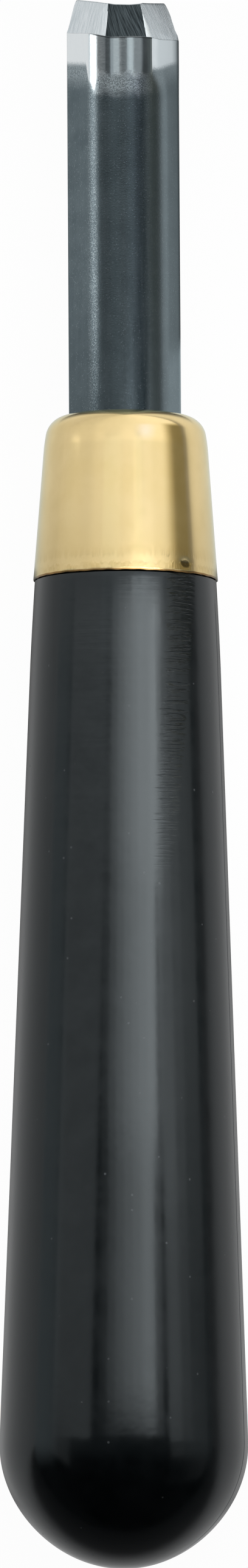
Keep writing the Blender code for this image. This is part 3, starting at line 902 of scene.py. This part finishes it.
def gouge_steel():
    """Blued spring steel, polished bright behind a bevel that is ground in strokes and honed at its edge.

    Between the blue and the polish the face is worn in specks, furthest down the crown. Painted on the blue
    are a dark reflection right of the crown, glints on the left ridge and a lighter reflection towards the
    right; a painted shadow line runs under the bevel.
    """
    made, nodes, shader = finish("gouge_steel", 1.0)
    place = nodes.millimetres()
    across, along, skin = nodes.map("skin")
    to_edge, ground, _ = nodes.map("grind")
    flat, _, _ = nodes.map("flat")
    cloud = nodes.group(mottle, place=place, scale=0.45)
    grain = nodes.noise(place, 8.0, 3.0, 0.7)
    sparks = nodes.group(specks, place=place, scale=10.0, share=0.12)
    crust = nodes.noise(place, 11.0, 4.0, 0.75)
    below = nodes.times(along, -1.0)
    crown = nodes.between(across, *CROWN_ACROSS)
    ridge = nodes.between(across, *RIDGE_ACROSS)
    right = nodes.step(across, *RIGHT_ACROSS)

    def reach(at_left, at_rim, at_crown):
        return nodes.blend(crown, nodes.span(right, at_left, at_rim), at_crown)

    uneven = nodes.times(nodes.math("SUBTRACT", crust, 0.5), nodes.blend(crown, 0.9, 1.7))
    wander = nodes.math("MULTIPLY_ADD", nodes.noise(place, 1.3, 2.0), 1.2, -0.6)
    ragged = nodes.math("ADD", nodes.math("ADD", below, uneven), nodes.times(wander, crown))
    polish_reach = nodes.math("MULTIPLY_ADD", ridge, POLISH_RIDGE, reach(*POLISH_REACH))
    polish = nodes.step(nodes.math("SUBTRACT", polish_reach, ragged), -0.3, 0.25)
    left_over = nodes.math("SUBTRACT", reach(*WORN_REACH), ragged)
    left_over = nodes.math("DIVIDE", left_over, nodes.blend(crown, 0.9, 0.55))
    speckled = nodes.span(nodes.step(crust, 0.4, 0.57), 0.22, 0.9)
    kept = nodes.times(nodes.span(nodes.step(across, 0.6, 1.2), 1.0, 0.4), nodes.blend(crown, 0.5, 1.0))
    worn = nodes.times(nodes.step(left_over, -1.0, 1.0), speckled, kept)

    left_turn, middle_turn, right_turn = STROKE_TURNS
    turn = nodes.blend(nodes.step(flat, 0.4, 0.6), middle_turn, right_turn)
    turn = nodes.blend(nodes.step(flat, -0.6, -0.4), left_turn, turn)
    cuts = nodes.group(strokes, place=skin, turn=turn, slowness=0.05, scale=8.0)
    drawn = nodes.group(strokes, place=skin, turn=0.0, slowness=0.05, scale=3.0)
    hone = nodes.times(nodes.step(to_edge, *HONED_EDGE), ground)
    # Painted shadow: a dark line just under the bevel's start, across the crown
    bevel_shadow = nodes.times(nodes.step(below, 0.1, 0.05), crown, 0.8)

    blued = nodes.mix(cloud, BLUED_DARK, BLUED_PALE)
    # Painted reflection: the blue lighter towards the right flank
    blued = nodes.mix(nodes.times(nodes.step(across, 1.2, 3.0), 0.34), blued, BLUED_RIGHT_LIT)
    # Painted reflection: a dark band right of the crown
    root = nodes.step(along, *DARK_REFLECTION_ALONG)
    dark_reflection_start = nodes.step(across, nodes.span(root, 0.2, -0.1), 1.0)
    dark_reflection = nodes.times(dark_reflection_start, nodes.step(across, *DARK_REFLECTION_END), nodes.span(root, 0.65, 1.0))
    blued = nodes.mix(dark_reflection, blued, BLUED_DARK_REFLECTION)
    blued = nodes.mix(nodes.times(sparks, 0.4), blued, BLUED_SPARK)
    blued = nodes.mix(nodes.times(drawn, 0.12), blued, BLUED_DRAWN)
    # Painted highlight: glints on the left ridge
    painted_glints = nodes.times(nodes.step(crust, 0.5, 0.6), ridge)
    blued = nodes.mix(nodes.times(painted_glints, 0.32), blued, BLUED_PAINTED_GLINT)
    blued = nodes.mix(worn, blued, BLUED_WORN)

    colour = nodes.mix(polish, blued, polished_colour_and_reflections(nodes, across, cloud))
    colour = nodes.mix(bevel_shadow, colour, BEVEL_SHADOW_LINE)
    colour = nodes.mix(ground, colour, ground_colour_and_reflections(nodes, flat, cuts))
    colour = nodes.mix(hone, colour, HONED_GREY)
    rough = nodes.blend(polish, nodes.span(grain, 0.2, 0.29), nodes.span(grain, 0.10, 0.16))
    roughness = nodes.blend(ground, rough, nodes.span(cuts, 0.2, 0.34))
    grit = nodes.math("SUBTRACT", grain, 0.5)
    waves = nodes.math("MULTIPLY_ADD", nodes.noise(place, 2.5, 2.0), 0.4, -0.2)
    polished = nodes.math("MULTIPLY_ADD", grit, 0.25, waves)
    grainy = nodes.blend(polish, nodes.times(grit, 1.5), polished)
    height = nodes.blend(ground, grainy, nodes.math("MULTIPLY_ADD", cuts, 0.9, -0.45))
    dress(nodes, shader, colour, roughness, height, 0.000006)
    return made


def pale_floor():
    """A matt pale floor that the camera sees nearly white, with the soft shadow of the tool left on it.

    The tool mirrors it darker beside and behind itself, as its own shade would make it.
    """
    made, nodes, shader = finish("pale_floor", 0.0)
    place = nodes.add("TexCoord").outputs["Object"]
    cloud = nodes.group(mottle, place=place, scale=6.0)
    colour = nodes.mix(cloud, FLOOR_DARK, FLOOR_PALE)
    nodes.tree.links.new(colour, shader.inputs["Base Color"])
    shader.inputs["Roughness"].default_value = 0.7
    shader.inputs["Specular IOR Level"].default_value = 0.1
    parts = nodes.add("SeparateXYZ", {0: place})
    x = parts.outputs[0]
    y = parts.outputs[1]
    behind = nodes.step(y, *BEHIND_BUTT)
    beside = nodes.step(nodes.math("ABSOLUTE", x), *BESIDE_TOOL)
    beside = nodes.math("MAXIMUM", beside, nodes.step(y, *ROUND_BUTT))
    beside = nodes.math("MAXIMUM", beside, nodes.between(y, *BY_FERRULE))
    front = nodes.span(nodes.step(y, *TO_FRONT), 0.66, 1.0)
    right = nodes.span(nodes.step(x, *FROM_RIGHT), 0.25, 1.0)
    level = nodes.times(nodes.times(behind, beside), nodes.times(front, right))
    by_blade = nodes.times(nodes.step(x, *LEFT_OF_BLADE[0]), nodes.step(y, *LEFT_OF_BLADE[1]))
    level = nodes.times(level, nodes.span(by_blade, 1.0, 0.85))
    path = nodes.add("LightPath")
    mirrored = path.outputs["Is Glossy Ray"]
    white = nodes.add("Emission", {"Color": WHITE, "Strength": nodes.blend(mirrored, 1.0, level)})
    share = nodes.times(mirrored, FLOOR_MIRRORED)
    share = nodes.math("MULTIPLY_ADD", path.outputs["Is Camera Ray"], FLOOR_WHITE, share)
    both = nodes.add("MixShader", {0: share, 1: shader.outputs[0], 2: white.outputs[0]})
    nodes.tree.links.new(both.outputs[0], made.node_tree.nodes["Material Output"].inputs["Surface"])
    return made


def studio_world():
    """Soft room light: walls low at both sides, a pale roof in front above, and dark behind.

    A direction is two angles in degrees: about the tool's axis, from above to the right, and forward.
    A dark card and a pale window lie in the roof, which is dimmer where lamps stand in front of it.
    """
    world = bpy.data.worlds.new("studio")
    world.use_nodes = True
    nodes = Nodes(world.node_tree)
    background = world.node_tree.nodes["Background"]
    parts = nodes.add("SeparateXYZ", {0: nodes.add("TexCoord").outputs["Generated"]})
    round_axis = nodes.math("DEGREES", nodes.math("ARCTAN2", parts.outputs[0], parts.outputs[2]))
    forward = nodes.math("DEGREES", nodes.math("ARCSINE", parts.outputs[1]))
    low = nodes.math("MULTIPLY_ADD", nodes.step(round_axis, *LEFT_WALL), 0.52, 0.09)
    low = nodes.math("MULTIPLY_ADD", nodes.between(round_axis, *RIGHT_WALL), 0.12, low)

    roof = nodes.span(nodes.step(round_axis, *ROOF_RISE), 0.94, 1.22)
    for edge, share in ROOF_FALLS:
        roof = nodes.times(roof, nodes.span(nodes.step(round_axis, *edge), 1.0, share))
    side_on = nodes.step(forward, *CROWN_SIDE_ON)
    for start, end, share in CROWN_LIGHT_SEEN:
        rise = (start - CROWN_LIGHT_EDGE, start + CROWN_LIGHT_EDGE)
        fall = (end + CROWN_LIGHT_EDGE, end - CROWN_LIGHT_EDGE)
        lamp_seen = nodes.times(nodes.between(round_axis, rise, fall), side_on)
        roof = nodes.math("MULTIPLY_ADD", lamp_seen, -share, roof)
    roof = nodes.times(roof, nodes.span(nodes.step(forward, *ROOF_SIDE_ON), 1.0, 1.08))
    half_turn = nodes.math("COSINE", nodes.times(nodes.math("RADIANS", round_axis), 0.5))
    raised = nodes.math("DIVIDE", forward, nodes.math("MAXIMUM", half_turn, 0.4))
    off_blade = nodes.step(round_axis, *OFF_BLADE)
    roof_edge = [nodes.span(off_blade, over, beside) for over, beside in zip(*ROOF_START)]
    above = nodes.step(raised, *roof_edge)

    card = nodes.times(nodes.between(round_axis, *CARD_SIDES), nodes.step(forward, *CARD_END))
    level = nodes.blend(above, low, nodes.times(roof, nodes.span(card, 1.0, 0.19)))
    level = nodes.times(level, nodes.span(nodes.step(forward, *DARK_BACK), 0.04, 1.0))
    seen = nodes.add("LightPath").outputs["Is Camera Ray"]
    nodes.tree.links.new(nodes.blend(seen, level, 1.0), background.inputs["Strength"])

    off_round = nodes.math("DIVIDE", nodes.math("SUBTRACT", round_axis, WINDOW_CENTRE[0]), WINDOW_HALF[0])
    off_forward = nodes.math("DIVIDE", nodes.math("SUBTRACT", forward, WINDOW_CENTRE[1]), WINDOW_HALF[1])
    window = nodes.step(nodes.length(off_round, off_forward), 1.0, 0.0)
    window = nodes.times(window, nodes.math("SUBTRACT", 1.0, seen))
    colour = nodes.mix(nodes.math("MAXIMUM", above, seen), COOL_LIGHT, WHITE)
    colour = nodes.mix(window, colour, WINDOW_LIGHT)
    colour = nodes.mix(nodes.times(card, above), colour, CARD_LIGHT)
    nodes.tree.links.new(colour, background.inputs["Color"])
    bpy.context.scene.world = world


def softbox(name, centre, width, length, radiance, aim=None, swing=0.0, colour=WHITE[:3], grid=None):
    """An even area lamp, its length along Y, whose face looks as bright as radiance to what it lights.

    It faces down, or leans sideways towards the point aim. swing turns it about the vertical, in degrees.
    grid is the half angle of a grid in front of it, in degrees.
    """
    data = bpy.data.lights.new(name, "AREA")
    data.shape = "RECTANGLE"
    data.size = width
    data.size_y = length
    data.energy = radiance * math.pi * width * length
    data.color = colour
    if grid:
        half = math.radians(grid)
        data.spread = 2 * half
        data.energy *= 1 - half / math.tan(half)
    lean = math.atan2(aim[0] - centre[0], centre[2] - aim[2]) if aim else 0.0
    lamp = bpy.data.objects.new(name, data)
    lamp.location = centre
    lamp.rotation_euler = (0, -lean, math.radians(swing))
    lamp.visible_camera = False
    bpy.context.scene.collection.objects.link(lamp)


def strip_lamps():
    """Strips side by side over each part of the handle, brightest at the right, and two in front of them."""
    for part, (back, front, left, right, share) in enumerate(STRIP_PARTS):
        edges = np.concatenate([np.array(STRIP_LEFT_STEPS) + left, np.array(STRIP_RIGHT_STEPS) + right])
        for number, level in enumerate(STRIP_LEVELS):
            start, end = edges[number : number + 2]
            centre = ((start + end) / 2, (back + front) / 2, STRIP_HEIGHT)
            softbox(f"strip_{part}_{number}", centre, end - start, front - back, level * share)
    for part, (back, front, left, right) in enumerate(STRIP_CORNERS):
        centre = ((left + right) / 2, (back + front) / 2, STRIP_HEIGHT)
        softbox(f"strip_corner_{part}", centre, right - left, front - back, STRIP_CORNER_LEVEL)


def right_lamps():
    """A panel of strips and lengths in one plane, tilted down to the right and swung about the vertical."""
    swing = math.radians(RIGHT_SWING)
    for part, (near, far, level) in enumerate(RIGHT_STRIPS):
        across = (near + far) / 2
        for number, (back, front, shares) in enumerate(RIGHT_LENGTHS):
            along = (back + front) / 2
            x = RIGHT_CENTRE[0] + math.cos(RIGHT_TILT) * across - math.sin(swing) * along
            y = RIGHT_CENTRE[1] + math.cos(swing) * along
            z = RIGHT_CENTRE[2] - math.sin(RIGHT_TILT) * across
            aim = (x - math.sin(RIGHT_TILT), y, z - math.cos(RIGHT_TILT))
            radiance = level * shares[part]
            name = f"handle_right_{part}_{number}"
            softbox(name, (x, y, z), far - near, front - back, radiance, aim, RIGHT_SWING)


handle = handle_piece(black_moulding())
ferrule = ferrule_piece(satin_brass())
blade = blade_piece(gouge_steel())
for piece, node in ((handle, "handle"), (ferrule, "ferrule"), (blade, "blade")):
    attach(piece, "root")
    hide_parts(node)

# Floor
corners = np.array([(-1, -1), (1, -1), (1, 1), (-1, 1)]) * FLOOR_REACH
floor_mesh = bpy.data.meshes.new("floor")
floor_mesh.from_pydata([(x, y, cad_box[0][2]) for x, y in corners], [], [(0, 1, 2, 3)])
floor_mesh.materials.append(pale_floor())
floor = bpy.data.objects.new("floor", floor_mesh)
bpy.context.scene.collection.objects.link(floor)

# Light
studio_world()
strip_lamps()
for name, place, width, length, level in LEFT_LAMPS:
    softbox(name, place, width, length, level, swing=LEFT_SWING)
right_lamps()
softbox(
    "blade_left",
    BLADE_LAMP_PLACE,
    BLADE_LAMP_WIDTH,
    BLADE_LAMP_LENGTH,
    BLADE_LAMP_LEVEL,
    BLADE_LAMP_AIM,
    grid=BLADE_LAMP_GRID,
)
for name, x, width, level in CROWN_LAMPS:
    centre = (x, CROWN_LAMP_Y, CROWN_LAMP_HEIGHT)
    softbox(name, centre, width, CROWN_LAMP_LENGTH, level, colour=COOL_LIGHT[:3])

# Camera
camera_data = bpy.data.cameras.new("camera")
camera_data.lens = LENS
camera_data.sensor_width = SENSOR
camera = bpy.data.objects.new("camera", camera_data)
bpy.context.scene.collection.objects.link(camera)
distance = IMAGE_HEIGHT * PIXEL_SIZE * LENS / SENSOR
back = np.array([0, -math.sin(CAMERA_TILT), math.cos(CAMERA_TILT)]) * distance
camera.location = np.array(CAMERA_TARGET) + back
camera.rotation_euler = (CAMERA_TILT, 0, CAMERA_ROLL)
bpy.context.scene.camera = camera
bpy.context.scene.view_settings.view_transform = "Standard"
